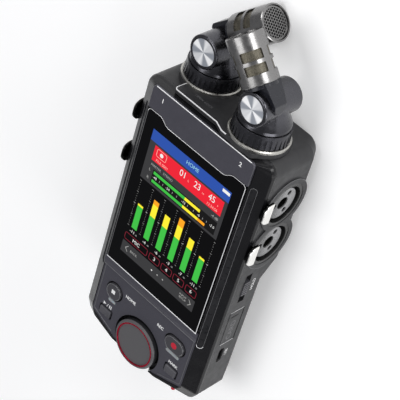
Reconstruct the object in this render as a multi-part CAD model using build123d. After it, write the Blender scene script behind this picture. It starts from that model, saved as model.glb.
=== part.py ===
from build123d import *
import os
from math import cos, pi, radians, sin, sqrt

# Portable field recorder lying on its flat back, in millimetres.
# While modelling: X to the right, Y towards the microphones with 0 at the middle of the display,
# Z out of the display with 0 on the flat back. save() moves everything along Y, so that the
# written frame has its origin under the middle of the whole object.

# ---- driving dimensions -------------------------------------------------------------------
BODY_HALF_W = 38.5        # half the width of the housings
BODY_TOP_Y = 58.0         # top face, which carries the microphones
TOP_CORNER = 6.0          # radius between the top face and the sides
CHIN_Y = -92.9            # lowest straight edge of the chin
SPLIT_Z = 30.0            # parting plane between the rear and front housings
SIDE_EDGE_Z = 31.2        # where the side face ends
BEVEL_Z = 32.4            # where the front bevel starts, after a narrow edge
EDGE_INSET = 0.5          # width of that narrow edge
FRONT_Z = 36.4            # front face of the front housing
FRONT_HALF_W = 31.6       # half the width of that front face
GLASS_Z = 37.5            # outer face of the display window
WALL = 2.0                # housing wall
GAP = 0.2                 # clearance round parts that move

DISPLAY_HALF_W = 24.5     # lit area of a 3.5 inch 2:3 display
DISPLAY_HALF_H = 36.7
WINDOW_HALF_W = 30.0
WINDOW_BOTTOM_Y = -45.5
WINDOW_TOP_Y = 45.0
WINDOW_STEP_Y = 42.0      # middle of the window's top edge, which drops below its corners
WINDOW_STEP_X = (17.5, 22.0)
BEZEL_HALF_W = 31.0
BEZEL_TOP_Y = 57.4
PLATE_T = 1.0

PANEL_Z = 36.2            # face of the control panel
PANEL_HALF_W = 31.3
RIDGE_Y = (-51.3, -45.7)
RIDGE_Z = 37.4

DIAL_Y = -80.4
DIAL_R = 13.0
DIAL_WELL_R = 14.7
DIAL_TOP_Z = 38.3
DIAL_FLOOR_Z = 31.5
DIAL_SHAFT_R = 3.0
RUNNING_GAP = 0.05

STOP_X, STOP_Y, STOP_R = -21.0, -63.2, 4.7
REC_X, REC_Y = 21.0, -62.7
REC_LENGTH, REC_WIDTH = 12.2, 8.4
KEY_X, KEY_Y = 23.0, -78.6
KEY_LENGTH, KEY_WIDTH = 7.2, 4.3
BUTTON_TRAVEL = 0.6

JACK_Y = (31.9, 8.6)      # the two combination jacks on each side
JACK_Z = 16.7
JACK_SHELL_R = 11.5
JACK_FACE_X = 39.0
JACK_DEPTH = 35.0
JACK_SLEEVE_R = (8.2, 9.8)    # annular gap that takes a connector's shell
JACK_BORE_R = 3.25
SURROUND_R = 14.0
SURROUND_X = 39.2
TAB_Y = (33.7, 8.8)       # the release tab in front of each jack
TAB_Z = (26.4, 29.6)      # its stem
TAB_LENGTH = 8.0
PADDLE_X = (39.9, 41.4)   # its D-shaped paddle, standing clear of the body
PADDLE_Z = (28.2, 33.8)
PADDLE_LENGTH = 11.0

SLIDER_SLOT_Y = (-25.0, -8.0)
SLIDER_Z = (21.4, 25.4)
DOOR_Y = (-52.0, -31.5)
DOOR_Z = (17.7, 27.5)
DOOR_PIN_X, DOOR_PIN_Z, DOOR_PIN_R = 37.8, 18.4, 0.45
USB_Y, USB_Z = -60.5, 24.0

CELL_R, CELL_LENGTH = 7.25, 50.5      # AA cells
CELL_PITCH = 14.8
CELL_Z = 9.6
CELL_Y = (-80.5, -30.0)
COVER_HALF_W = 29.3
COVER_Y = (-92.6, -24.2)
COVER_T = 1.8
TRIPOD_Y = -12.0
TRIPOD_BORE_R = 2.55      # a 1/4-20 thread's core
TRIPOD_DEPTH = 7.0
SPEAKER_Y = 24.0

STEM_X = 19.3             # the microphone stems, staggered in depth
STEM_Z = {"left": 13.5, "right": 23.3}
DECK_Y = (58.0, 60.4)
SOCKET_R = 14.3
SOCKET_TOP_Y = 61.8
PLUG_R = 4.5
PLUG_BOTTOM_Y = 52.0
RING_Y = (62.0, 68.6)
RING_R = (13.4, 12.9)
RING_BORE_R = 9.0
NECK_R = 8.7
DOME_BOTTOM_Y = 68.9
BARREL_Y = 78.0
BARREL_R = 8.0
BARREL_LENGTH = 24.0
BARREL_DISC_R = 6.3
TILT = 45.0               # each capsule leans inward by this much
CAPSULE_SHIFT = 4.7       # capsule plane, in front of the stem's axis
CAPSULE_AXIS = 2.8        # capsule axis, outside the barrel's axis
CAPSULE_R = 8.55
CAPSULE_BORE_R = 7.75
CAPSULE_BASE = 8.8        # from the barrel's axis to the sleeve's lower end
CAPSULE_LENGTH = 22.0
WINDOW_ROWS = (9.3, 15.2) # slots, measured back from the sleeve's front end
SLOT_HEIGHT, SLOT_WIDTH = 4.3, 9.5
GRILLE_T = 0.8
GRILLE_HOLE_R, GRILLE_PITCH = 0.45, 1.42
ARM_HALF_T = 5.0

EDGE_BREAK = 0.35         # chamfer on the sleeve's ends

CAPSULE_END = CAPSULE_BASE + CAPSULE_LENGTH
TOP_Y = BARREL_Y + (CAPSULE_END + CAPSULE_AXIS + CAPSULE_R - EDGE_BREAK) * sin(radians(TILT))
BOTTOM_Y = DIAL_Y - DIAL_R
MIDDLE_Y = (TOP_Y + BOTTOM_Y) / 2


# ---- helpers ------------------------------------------------------------------------------
def middle(span):
    return (span[0] + span[1]) / 2


def length(span):
    return span[1] - span[0]


def slab(x, y, z):
    """Box between three (low, high) pairs."""
    return Pos(middle(x), middle(y), middle(z)) * Box(length(x), length(y), length(z))


def rod_x(x, y, z, radius):
    return Pos(middle(x), y, z) * Rot(0, 90, 0) * Cylinder(radius, length(x))


def rod_y(x, y, z, radius):
    return Pos(x, middle(y), z) * Rot(90, 0, 0) * Cylinder(radius, length(y))


def rod_z(x, y, z, radius):
    return Pos(x, y, middle(z)) * Cylinder(radius, length(z))


def outline(points, corner=0.0):
    """Closed outline in the XY plane, with every corner rounded alike."""
    shape = Polygon(*points, align=None)
    return fillet(shape.vertices(), corner) if corner else shape


def capped(points, corner, top_corner):
    """Closed outline whose two topmost corners have a radius of their own."""
    shape = Polygon(*points, align=None)
    shape = fillet(shape.vertices().sort_by(Axis.Y)[:-2], corner)
    return fillet(shape.vertices().sort_by(Axis.Y)[-2:], top_corner)


def raised(shape, z):
    """Flat shape extruded between two heights."""
    return Pos(0, 0, z[0]) * extrude(shape, length(z), dir=(0, 0, 1))


def mirrored(solid):
    return mirror(solid, about=Plane.YZ)


def both_sides(solid):
    return solid + mirrored(solid)


def symmetric(points):
    """Right-hand half of an outline, top to bottom, completed by its mirror image."""
    return points + [(-x, y) for x, y in reversed(points)]


def common(first, second):
    return Part() + first.intersect(second)


def save(name, solid):
    export_step(Pos(0, -MIDDLE_Y, 0) * solid, f"parts/{name}.step")


# ---- housings -----------------------------------------------------------------------------
LENS_X, LENS_Z, LENS_R = 25.0, 32.0, 1.1


def body_shape(inset=0.0, narrower=0.0, shorter=0.0):
    """Outline of the body seen from the front."""
    half = BODY_HALF_W - inset - narrower
    top, chin = BODY_TOP_Y - inset, CHIN_Y + inset + shorter
    points = [(half, top), (half, chin + 8.9), (half - 2.6, chin + 4.2), (14.8, chin)]
    return capped(symmetric(points), 2.6, 2.6 if narrower else TOP_CORNER - inset)


UPPER_BEVEL = (3.5, 5.5)  # width and height of the back bevel near the top


def back_bevel(grow=0.0):
    """Wedge off the right-hand back edge: wide beside the battery bay, narrow at the top."""
    sections = []
    for y, width, height in ((-96, 7.5, 14.0), (-16, 7.5, 14.0), (-5, *UPPER_BEVEL), (62, *UPPER_BEVEL)):
        corner = BODY_HALF_W + 1.0
        slope = height / width
        points = [(BODY_HALF_W - width - 1.0 / slope - grow, -1.0),
                  (corner - grow, height + slope), (corner + 4, height + slope), (corner + 4, -1.0)]
        sections.append(Plane.XZ.offset(-y) * Polygon(*points, align=None))
    return loft(sections, ruled=True)


def back_corner(grow=0.0):
    """Waste outside the rounded top corner, where it follows the slope of the back bevel."""
    run, rise = UPPER_BEVEL
    below = 1.0
    reach = (rise + below) / rise * sqrt(run * run + rise * rise)
    middle_x, middle_y = BODY_HALF_W - TOP_CORNER, BODY_TOP_Y - TOP_CORNER
    waste = Pos(5, 5) * Rectangle(10, 10) - Circle(TOP_CORNER - grow)
    return extrude(Pos(middle_x, middle_y, rise) * waste, reach, dir=(-run, 0, -rise))


def side_cuts():
    """Openings in the right side wall: slider slot, card door, its hinge pin and the port."""
    wall = (BODY_HALF_W - WALL - 1, BODY_HALF_W + 2)
    slot = slab(wall, SLIDER_SLOT_Y, SLIDER_Z)
    door = slab(wall, (DOOR_Y[0] - GAP, DOOR_Y[1] + GAP), (DOOR_Z[0] - GAP, DOOR_Z[1] + GAP))
    pin = rod_y(DOOR_PIN_X, (DOOR_Y[0] - 1.6, DOOR_Y[1] + 1.6), DOOR_PIN_Z, DOOR_PIN_R + RUNNING_GAP)
    port = Pos(middle(wall), USB_Y, USB_Z) * Rot(0, 90, 0) * extrude(
        Rot(0, 0, 90) * SlotOverall(9.2, 3.4), length(wall) / 2, both=True)
    return [slot, door, pin, port]


VOLUME_Y = (-8.0, -18.0)
VOLUME_KEY = (7.0, 3.6)
MINI_JACK_Y = (-32.0, -44.0)
MINI_JACK_R = 3.0
MINI_JACK_Z = 23.0
MINI_BORE_R = 1.8


def left_cuts():
    """Openings in the left side wall: volume keys and mini jacks."""
    wall = (-BODY_HALF_W - 2, -BODY_HALF_W + WALL + 1)
    cuts = []
    for y in VOLUME_Y:
        half = VOLUME_KEY[0] / 2 + GAP
        cuts.append(slab(wall, (y - half, y + half),
                         (MINI_JACK_Z - VOLUME_KEY[1] / 2 - GAP, MINI_JACK_Z + VOLUME_KEY[1] / 2 + GAP)))
    cuts += [rod_x(wall, y, MINI_JACK_Z, MINI_JACK_R) for y in MINI_JACK_Y]
    return cuts


def screw_places():
    return [(side * x, y) for x, y in ((25.0, -14.0), (30.0, 52.0)) for side in (-1, 1)]


def tab_slot(y):
    """Way for the stem of the tab that belongs to the jack at y, in the right side wall."""
    centre = TAB_Y[JACK_Y.index(y)]
    half = TAB_LENGTH / 2 + GAP
    return slab((BODY_HALF_W - 8, SURROUND_X + 3), (centre - half, centre + half),
                (TAB_Z[0] - GAP, SPLIT_Z + 1))


def rear_housing():
    shell = raised(body_shape(), (0, SPLIT_Z))
    shell -= both_sides(back_bevel())
    shell -= both_sides(back_corner())
    cavity = raised(body_shape(WALL), (WALL, SPLIT_Z + 1))
    cavity -= both_sides(back_bevel(WALL))
    cavity -= both_sides(back_corner(WALL))
    for y in JACK_Y:
        boss = rod_x((BODY_HALF_W - 6, SURROUND_X), y, JACK_Z, SURROUND_R)
        shell += both_sides(boss)
    shell -= slab((-42, 42), (-100, 70), (SPLIT_Z, SPLIT_Z + 3))
    shell -= cavity
    for y in JACK_Y:
        for side in (-1, 1):
            cut = rod_x((BODY_HALF_W - 8, SURROUND_X + 1), y, JACK_Z, JACK_SHELL_R)
            tab = tab_slot(y)
            shell -= cut if side > 0 else mirrored(cut)
            shell -= tab if side > 0 else mirrored(tab)
    for cut in side_cuts() + left_cuts():
        shell -= cut
    cover_way = slab((-COVER_HALF_W - GAP, COVER_HALF_W + GAP), (CHIN_Y - 2, COVER_Y[1] + GAP),
                     (-1, WALL + 0.01))
    shell -= cover_way
    for side in STEM_Z:
        x = STEM_X if side == "right" else -STEM_X
        shell -= rod_y(x, (BODY_TOP_Y - WALL - 1, BODY_TOP_Y + 1), STEM_Z[side], 6.5)
    boss = rod_z(0, TRIPOD_Y, (WALL - 0.5, TRIPOD_DEPTH + 1), 6.2)
    shell = shell + boss - rod_z(0, TRIPOD_Y, (-1, TRIPOD_DEPTH + 2), 4.5)
    for column in range(-3, 4):
        for row in range(-3, 4):
            shell -= rod_z(column * 2.4, SPEAKER_Y + row * 2.4, (-1, WALL + 1), 0.6)
    for x, y in screw_places():
        shell += rod_z(x, y, (0.6, SPLIT_Z), 2.6)
        shell -= rod_z(x, y, (-2, 3.6), 1.9)
        shell -= rod_z(x, y, (3, SPLIT_Z + 1), 1.0)
    return shell


def stadium(x, y, size_x, size_y):
    return Pos(x, y) * SlotOverall(size_x, size_y)


def rounded(x, y, size_x, size_y, corner):
    return Pos(x, y) * RectangleRounded(size_x, size_y, corner)


def control_holes(grow):
    """The four button openings, as flat shapes."""
    return [Pos(STOP_X, STOP_Y) * Circle(STOP_R + grow),
            stadium(REC_X, REC_Y, REC_LENGTH + 2 * grow, REC_WIDTH + 2 * grow),
            rounded(-KEY_X, KEY_Y, KEY_LENGTH + 2 * grow, KEY_WIDTH + 2 * grow, 0.8),
            rounded(KEY_X, KEY_Y, KEY_LENGTH + 2 * grow, KEY_WIDTH + 2 * grow, 0.8)]


RAIL_Y = (-54.0, 45.0)
RAIL_WIDTH = 3.2
RAIL_ACROSS = 0.26        # where the rail's middle lies, as a share of the bevel's width
RAIL_T = 0.9
RAIL_SINK = 0.25          # how far the rail's face lies under the bevel


def rail_plane():
    """Plane lying on the right-hand front bevel, at the rail's middle."""
    run, rise = BODY_HALF_W - EDGE_INSET - FRONT_HALF_W, FRONT_Z - BEVEL_Z
    origin = (FRONT_HALF_W + run * RAIL_ACROSS, middle(RAIL_Y), FRONT_Z - rise * RAIL_ACROSS)
    return Plane(origin=origin, x_dir=(0, 1, 0), z_dir=(rise, 0, run))


def rail(grow, depth, sink=0.0):
    shape = rail_plane().offset(-sink) * SlotOverall(length(RAIL_Y) + 2 * grow, RAIL_WIDTH + 2 * grow)
    return extrude(shape, -depth)


def panel_shape(inset=0.0):
    points = [(PANEL_HALF_W - inset, RIDGE_Y[0] + 1.3), (PANEL_HALF_W - inset, -82.9 + inset),
              (13.5, -88.9 + inset)]
    return outline(symmetric(points), 1.6)


def front_housing():
    shell = raised(body_shape(), (SPLIT_Z, SIDE_EDGE_Z))
    lower = Pos(0, 0, SIDE_EDGE_Z) * body_shape()
    edge = Pos(0, 0, BEVEL_Z) * body_shape(EDGE_INSET)
    upper = Pos(0, 0, FRONT_Z) * body_shape(0.6, BODY_HALF_W - FRONT_HALF_W - 0.6, 2.1)
    shell += loft([lower, edge, upper], ruled=True)
    shell -= slab((-29.0, 29.0), (-44.4, 44.4), (SPLIT_Z - 1, FRONT_Z + 1))
    shell -= slab((-29.0, 29.0), (46.6, 55.0), (SPLIT_Z - 1, SIDE_EDGE_Z))
    shell -= raised(panel_shape(-0.06), (PANEL_Z - PLATE_T, FRONT_Z + 1))
    shell -= rod_z(0, DIAL_Y, (DIAL_FLOOR_Z, GLASS_Z), DIAL_WELL_R)
    shell -= rod_z(0, DIAL_Y, (SPLIT_Z - 1, DIAL_FLOOR_Z + 1), DIAL_SHAFT_R + 1.0)
    for hole in control_holes(0.3):
        shell -= raised(hole, (SPLIT_Z - 1, FRONT_Z + 1))
    shell -= both_sides(rail(0.05, RAIL_T + RAIL_SINK))
    return shell - rod_y(LENS_X, (CHIN_Y - 2, CHIN_Y + 6), LENS_Z, LENS_R + RUNNING_GAP)


ABOVE_BACK = slab((-45, 45), (40, 70), (0.3, 40))   # trims what would stand below the back face


def top_deck():
    """Raised platform that both microphone sockets stand on."""
    points = [(-22.0, 20.0), (-22.0, 34.4), (4.0, 34.4), (9.5, 37.0), (27.0, 37.0), (32.8, 27.0),
              (32.8, 18.0), (8.0, 8.0)]
    shape = Plane.XZ.offset(-DECK_Y[0]) * outline(points, 1.5)
    deck = extrude(shape, length(DECK_Y), dir=(0, 1, 0))
    for side, x in (("left", -STEM_X), ("right", STEM_X)):
        deck += rod_y(x, DECK_Y, STEM_Z[side], SOCKET_R)
    for side, x in (("left", -STEM_X), ("right", STEM_X)):
        deck -= rod_y(x, (DECK_Y[0] - 1, DECK_Y[1] + 1), STEM_Z[side], 6.5)
    return common(deck, ABOVE_BACK)


# ---- front plates and display -------------------------------------------------------------
def window_top(right_x):
    """Stepped top edge of the window, from the right corner to the left one."""
    return [(right_x, WINDOW_TOP_Y), (WINDOW_STEP_X[1], WINDOW_TOP_Y), (WINDOW_STEP_X[0], WINDOW_STEP_Y)]


def display_window():
    points = [(WINDOW_HALF_W, WINDOW_BOTTOM_Y)] + window_top(WINDOW_HALF_W)
    shape = outline(symmetric(points), 1.4)
    return raised(shape, (FRONT_Z, GLASS_Z))


def top_bezel_plate():
    points = [(BEZEL_HALF_W, BEZEL_TOP_Y)] + window_top(BEZEL_HALF_W)
    shape = capped(symmetric(points), 0.8, 2.0)
    shape -= Pos(0, 0.1) * outline(symmetric([(WINDOW_HALF_W, WINDOW_BOTTOM_Y)] + window_top(WINDOW_HALF_W)))
    return raised(shape, (FRONT_Z, FRONT_Z + PLATE_T))


def control_panel_plate():
    plate = raised(panel_shape(), (PANEL_Z - PLATE_T, PANEL_Z))
    profile = Polygon((RIDGE_Y[0], FRONT_Z), (RIDGE_Y[1], FRONT_Z), (RIDGE_Y[1], RIDGE_Z),
                      (RIDGE_Y[0] + 2.6, RIDGE_Z), (RIDGE_Y[0], FRONT_Z + 0.5), align=None)
    half = FRONT_HALF_W - 0.3
    plate += extrude(Plane.YZ.offset(-half) * profile, 2 * half, dir=(1, 0, 0))
    plate += slab((-31.2, 31.2), (RIDGE_Y[0] - 0.4, RIDGE_Y[0] + 1.2), (PANEL_Z - PLATE_T, FRONT_Z + 0.4))
    for hole in control_holes(0.75):
        plate -= raised(hole, (PANEL_Z - 2, RIDGE_Z + 1))
    for bar in light_bar_shapes():
        plate -= raised(bar, (PANEL_Z - 2, RIDGE_Z))
    return plate - rod_z(0, DIAL_Y, (PANEL_Z - 2, GLASS_Z), DIAL_WELL_R)


def light_bar_shapes():
    return [stadium(STOP_X, STOP_Y - 6.5, 4.8, 1.7), stadium(REC_X, REC_Y - 5.95, 8.6, 1.7)]


def light_bars():
    low, high = light_bar_shapes()
    return raised(low, (PANEL_Z - PLATE_T, PANEL_Z + 0.15)) + raised(high, (PANEL_Z - PLATE_T, PANEL_Z + 0.15))


def display_module():
    return slab((-28.6, 28.6), (-44.0, 44.0), (SPLIT_Z + 1.5, FRONT_Z))


# ---- controls -----------------------------------------------------------------------------
def jog_dial():
    cap = rod_z(0, DIAL_Y, (DIAL_FLOOR_Z + 0.4, DIAL_TOP_Z), DIAL_R)
    rim = cap.edges().filter_by(GeomType.CIRCLE).sort_by(Axis.Z)[-1]
    cap = chamfer(rim, 0.7)
    cap -= rod_z(0, DIAL_Y, (DIAL_TOP_Z - 0.4, DIAL_TOP_Z + 1), 11.7)
    return cap + rod_z(0, DIAL_Y, (27.0, DIAL_FLOOR_Z + 1), DIAL_SHAFT_R)


def dial_ring():
    ring = rod_z(0, DIAL_Y, (DIAL_TOP_Z - 0.4, DIAL_TOP_Z), 11.7)
    return ring - rod_z(0, DIAL_Y, (DIAL_TOP_Z - 0.4, DIAL_TOP_Z + 1), 10.9)


def jog_encoder():
    case = slab((-6.5, 6.5), (DIAL_Y - 6.5, DIAL_Y + 6.5), (25.6, SPLIT_Z))
    return case - rod_z(0, DIAL_Y, (26.6, SPLIT_Z + 1), DIAL_SHAFT_R + RUNNING_GAP)


def button(shape, crown):
    """Cap standing above the panel by its crown, with a stem down to its switch."""
    cap = raised(shape, (PANEL_Z - 3.4, PANEL_Z + crown))
    rim = cap.edges().group_by(Axis.Z)[-1]
    return fillet(rim, 0.4)


def pushed(cap, x, y):
    return cap + rod_z(x, y, (29.6 + BUTTON_TRAVEL, PANEL_Z - 3), 1.6)


def stop_button():
    return pushed(button(Pos(STOP_X, STOP_Y) * Circle(STOP_R), 1.0), STOP_X, STOP_Y)


def rec_button():
    return pushed(button(stadium(REC_X, REC_Y, REC_LENGTH, REC_WIDTH), 1.0), REC_X, REC_Y)


def key(x):
    return pushed(button(rounded(x, KEY_Y, KEY_LENGTH, KEY_WIDTH, 0.7), 0.8), x, KEY_Y)


def tact_switches():
    places = [(STOP_X, STOP_Y), (REC_X, REC_Y), (-KEY_X, KEY_Y), (KEY_X, KEY_Y)]
    cases = [slab((x - 3, x + 3), (y - 3, y + 3), (25.6, 29.2)) for x, y in places]
    tops = [rod_z(x, y, (29.2, 29.5), 1.5) for x, y in places]
    return Compound([case + top for case, top in zip(cases, tops)])


def volume_key(y):
    face = slab((-BODY_HALF_W - 0.5, -BODY_HALF_W + 2.6), (y - VOLUME_KEY[0] / 2, y + VOLUME_KEY[0] / 2),
                (MINI_JACK_Z - VOLUME_KEY[1] / 2, MINI_JACK_Z + VOLUME_KEY[1] / 2))
    rim = face.edges().group_by(Axis.X)[0]
    return fillet(rim, 0.3)


def power_slider():
    y = middle(SLIDER_SLOT_Y)
    knob = slab((BODY_HALF_W - 3.0, BODY_HALF_W + 0.5), (y - 4, y + 4), (SLIDER_Z[0] + 0.1, SLIDER_Z[1] - 0.1))
    for step in range(-2, 3):
        knob -= slab((BODY_HALF_W, BODY_HALF_W + 1), (y + step * 1.4 - 0.3, y + step * 1.4 + 0.3), (20, 27))
    return knob + slab((BODY_HALF_W - 3.0, BODY_HALF_W - WALL - 0.1), (y - 7, y + 7), (20.0, 26.8))


def sd_door():
    plate = slab((37.2, BODY_HALF_W + 0.1), DOOR_Y, DOOR_Z)
    hinge_edge = plate.edges().filter_by(Axis.Y).group_by(Axis.X)[-1].sort_by(Axis.Z)[0]
    plate = fillet(hinge_edge, 0.8)
    groove = slab((BODY_HALF_W - 0.3, 40), (DOOR_Y[1] - 3.2, DOOR_Y[1] - 2.6), (DOOR_Z[0] + 3, DOOR_Z[1] - 1.5))
    pin = rod_y(DOOR_PIN_X, (DOOR_Y[0] - 1.4, DOOR_Y[1] + 1.4), DOOR_PIN_Z, DOOR_PIN_R)
    return plate - groove + pin


def sd_slot():
    case = slab((21.0, 35.6), (-50.5, -33.0), (19.5, 23.9))
    return case - slab((24.0, 36.0), (-48.0, -35.5), (20.8, 22.8))


def usb_port():
    def shell(x, grow):
        shape = Rot(0, 0, 90) * SlotOverall(8.9 - 2 * grow, 3.2 - 2 * grow)
        return Pos(x[0], USB_Y, USB_Z) * Rot(0, 90, 0) * extrude(shape, length(x))
    tongue = slab((31.0, 37.0), (USB_Y - 3.0, USB_Y + 3.0), (USB_Z - 0.35, USB_Z + 0.35))
    return shell((30.0, 38.2), 0) - shell((31.0, 39.0), 0.35) + tongue


def audio_jacks():
    jacks = []
    for y in MINI_JACK_Y:
        barrel = rod_x((-38.7, -36.0), y, MINI_JACK_Z, MINI_JACK_R)
        case = slab((-36.0, -21.5), (y - 3.2, y + 3.2), (19.8, 26.1))
        jacks.append(barrel + case - rod_x((-39.0, -24.0), y, MINI_JACK_Z, MINI_BORE_R))
    return Compound(jacks)


# ---- combination jacks --------------------------------------------------------------------
def jack_shell(y):
    low = JACK_FACE_X - JACK_DEPTH
    shell = rod_x((low, JACK_FACE_X), y, JACK_Z, JACK_SHELL_R)
    shell -= rod_x((low + 3, JACK_FACE_X + 1), y, JACK_Z, JACK_SLEEVE_R[1])
    return shell - tab_slot(y)


def jack_insert(y):
    """Grey core with three contact holes round the central plug bore."""
    low = JACK_FACE_X - JACK_DEPTH + 3
    core = rod_x((low, JACK_FACE_X - 1.2), y, JACK_Z, JACK_SLEEVE_R[0])
    core -= rod_x((low + 1, JACK_FACE_X), y, JACK_Z, JACK_BORE_R)
    for angle in (90, 210, 330):
        hole_y = y + 5.6 * cos(radians(angle))
        hole_z = JACK_Z + 5.6 * sin(radians(angle))
        core -= rod_x((low + 4, JACK_FACE_X), hole_y, hole_z, 1.35)
    return core


def jacks(maker, side):
    solids = [maker(y) for y in JACK_Y]
    return Compound(solids if side == "right" else [mirrored(solid) for solid in solids])


def latch_tab(y, side):
    """Stem in the side wall with a D-shaped paddle outside it."""
    centre = TAB_Y[JACK_Y.index(y)]
    span = (centre - TAB_LENGTH / 2, centre + TAB_LENGTH / 2)
    stem = slab((34.0, SURROUND_X), span, TAB_Z)
    stem += slab((SURROUND_X - 1, PADDLE_X[1] - 0.5), span, (PADDLE_Z[0], TAB_Z[1]))
    half = PADDLE_LENGTH / 2
    paddle = slab(PADDLE_X, (centre - half, centre + half), PADDLE_Z)
    round_edges = paddle.edges().filter_by(Axis.X).group_by(Axis.Z)[-1]
    paddle = fillet(round_edges, 4.2)
    paddle = fillet(paddle.edges().group_by(Axis.X)[-1], 0.5)
    tab = stem + paddle
    return tab if side == "right" else mirrored(tab)


# ---- inside -------------------------------------------------------------------------------
def main_board():
    board = slab((-35.0, 35.0), (-84.0, -6.0), (24.2, 25.6))
    board -= slab((20.0, 36.0), (-56.0, -30.0), (23.0, 27.0))
    board -= slab((29.0, 36.0), (-66.0, -4.0), (23.0, 27.0))
    board -= slab((-36.0, -21.0), (-48.0, -4.0), (23.0, 27.0))
    for x, y in screw_places():
        board -= rod_z(x, y, (23.0, 27.0), 3.0)
    return common(board, raised(body_shape(WALL + 0.4), (0, SPLIT_Z)))


def input_board():
    return slab((-28.0, 28.0), (-3.0, 46.0), (28.4, 29.8))


def battery_tray():
    outer = slab((-31.0, 31.0), (CELL_Y[0] - 3.6, CELL_Y[1] + 5.0), (WALL, 19.0))
    inner = slab((-29.9, 29.9), (CELL_Y[0] - 2.5, CELL_Y[1] + 3.8), (WALL - 1, 17.6))
    keep = raised(body_shape(WALL + 0.1), (0, SPLIT_Z)) - both_sides(back_bevel(WALL + 0.1))
    return common(outer - inner, keep)


def cell_places():
    return [CELL_PITCH * (index - 1.5) for index in range(4)]


def battery_cells():
    cells = []
    for index, x in enumerate(cell_places()):
        can = rod_y(x, (CELL_Y[0], CELL_Y[1] - 1.2), CELL_Z, CELL_R)
        tip = rod_y(x, (CELL_Y[1] - 1.2, CELL_Y[1]), CELL_Z, 2.7)
        cell = can + tip
        if index % 2:
            cell = Pos(0, CELL_Y[0] + CELL_Y[1], 0) * mirror(cell, about=Plane.XZ)
        cells.append(cell)
    return Compound(cells)


def battery_contacts():
    """A leaf plate and a coiled spring at each end of every cell, as stepped stacks."""
    pieces = []
    for x in cell_places():
        for y, step in ((CELL_Y[0], -1), (CELL_Y[1], 1)):
            gap = 2.5 if step < 0 else 3.8
            plate = sorted((y + step * gap, y + step * (gap - 0.4)))
            spring = sorted((y, y + step * (gap - 0.4)))
            leaf = slab((x - 5, x + 5), plate, (CELL_Z - 5, CELL_Z + 5))
            pieces.append(leaf + rod_y(x, spring, CELL_Z, 2.4))
    return Compound(pieces)


def battery_cover():
    plate = slab((-COVER_HALF_W, COVER_HALF_W), COVER_Y, (0, COVER_T))
    plate = common(plate, raised(body_shape(0.3), (0, COVER_T)))
    for step in range(7):
        y = -34.0 + step * 1.8
        plate -= slab((-9.0, 9.0), (y, y + 0.8), (-1, 0.5))
    return plate


def speaker():
    frame = slab((-10.0, 10.0), (SPEAKER_Y - 10, SPEAKER_Y + 10), (WALL, 4.4))
    return frame - rod_z(0, SPEAKER_Y, (WALL - 1, 3.2), 8.8) + rod_z(0, SPEAKER_Y, (4.4, 5.0), 6.0)


def tripod_insert():
    insert = rod_z(0, TRIPOD_Y, (0, TRIPOD_DEPTH + 1), 4.5)
    return insert - rod_z(0, TRIPOD_Y, (-1, TRIPOD_DEPTH), TRIPOD_BORE_R)


def housing_screws():
    screws = []
    for x, y in screw_places():
        head = rod_z(x, y, (2.0, 3.6), 1.85) - slab((x - 1.2, x + 1.2), (y - 0.25, y + 0.25), (1, 2.7))
        screws.append(head + rod_z(x, y, (3.6, 12.0), 0.95))
    return Compound(screws)


def bottom_lens():
    return rod_y(LENS_X, (CHIN_Y + 1.0, CHIN_Y + 6), LENS_Z, LENS_R)


# ---- microphones: one head, built round the Y axis as its stem, serves both sides ----------
def along_capsule(distance, radius):
    """Cylinder on the capsule's axis between two distances from the barrel's axis."""
    return rod_x((-distance[1], -distance[0]), CAPSULE_AXIS, 0, radius)


def tilted(solid):
    return Pos(0, BARREL_Y, CAPSULE_SHIFT) * Rot(0, 0, -TILT) * solid


def mic_barrel():
    half = BARREL_LENGTH / 2
    body = rod_z(0, BARREL_Y, (-half, half), BARREL_R)
    body = fillet(body.edges().filter_by(GeomType.CIRCLE), 0.9)
    dome = Polygon((0, DOME_BOTTOM_Y), (12.3, DOME_BOTTOM_Y), (12.0, 70.2), (11.0, 72.0),
                   (9.6, 74.4), (8.4, 76.8), (7.6, BARREL_Y + 1), (0, BARREL_Y + 1), align=None)
    body += revolve(dome, Axis.Y, 360)
    body += rod_y(0, (SOCKET_TOP_Y + 0.4, DOME_BOTTOM_Y + 1), 0, NECK_R)
    body += rod_y(0, (PLUG_BOTTOM_Y, SOCKET_TOP_Y + 1), 0, PLUG_R)
    for end in (-1, 1):
        z = sorted((end * (half - 0.9), end * (half + 1)))
        body -= rod_z(0, BARREL_Y, z, BARREL_DISC_R + 0.05)
    return body


def barrel_discs():
    half = BARREL_LENGTH / 2
    return Compound([rod_z(0, BARREL_Y, sorted((end * (half - 0.9), end * (half - 0.15))), BARREL_DISC_R)
                     for end in (-1, 1)])


def mic_arm():
    """Wedge between barrel and capsule, with a rounded tongue lying over the barrel."""
    top = CAPSULE_AXIS + CAPSULE_R - 1.4
    side = Polygon((-CAPSULE_BASE, -3.6), (-2.0, -6.0), (0, 0), (5.4, 4.0), (5.4, 7.4), (2.0, top),
                   (-CAPSULE_BASE, top), align=None)
    arm = extrude(side, ARM_HALF_T + 1, both=True)
    plan = outline([(-14.0, ARM_HALF_T + 0.7), (5.4, 3.3), (5.4, -3.3), (-14.0, -ARM_HALF_T - 0.7)], 3.0)
    plan = Plane.XZ * plan
    arm = common(arm, extrude(plan, 20, both=True))
    arm += along_capsule((CAPSULE_BASE - 1.6, CAPSULE_BASE), CAPSULE_BORE_R)
    return tilted(arm - Cylinder(BARREL_R, 60))


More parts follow.
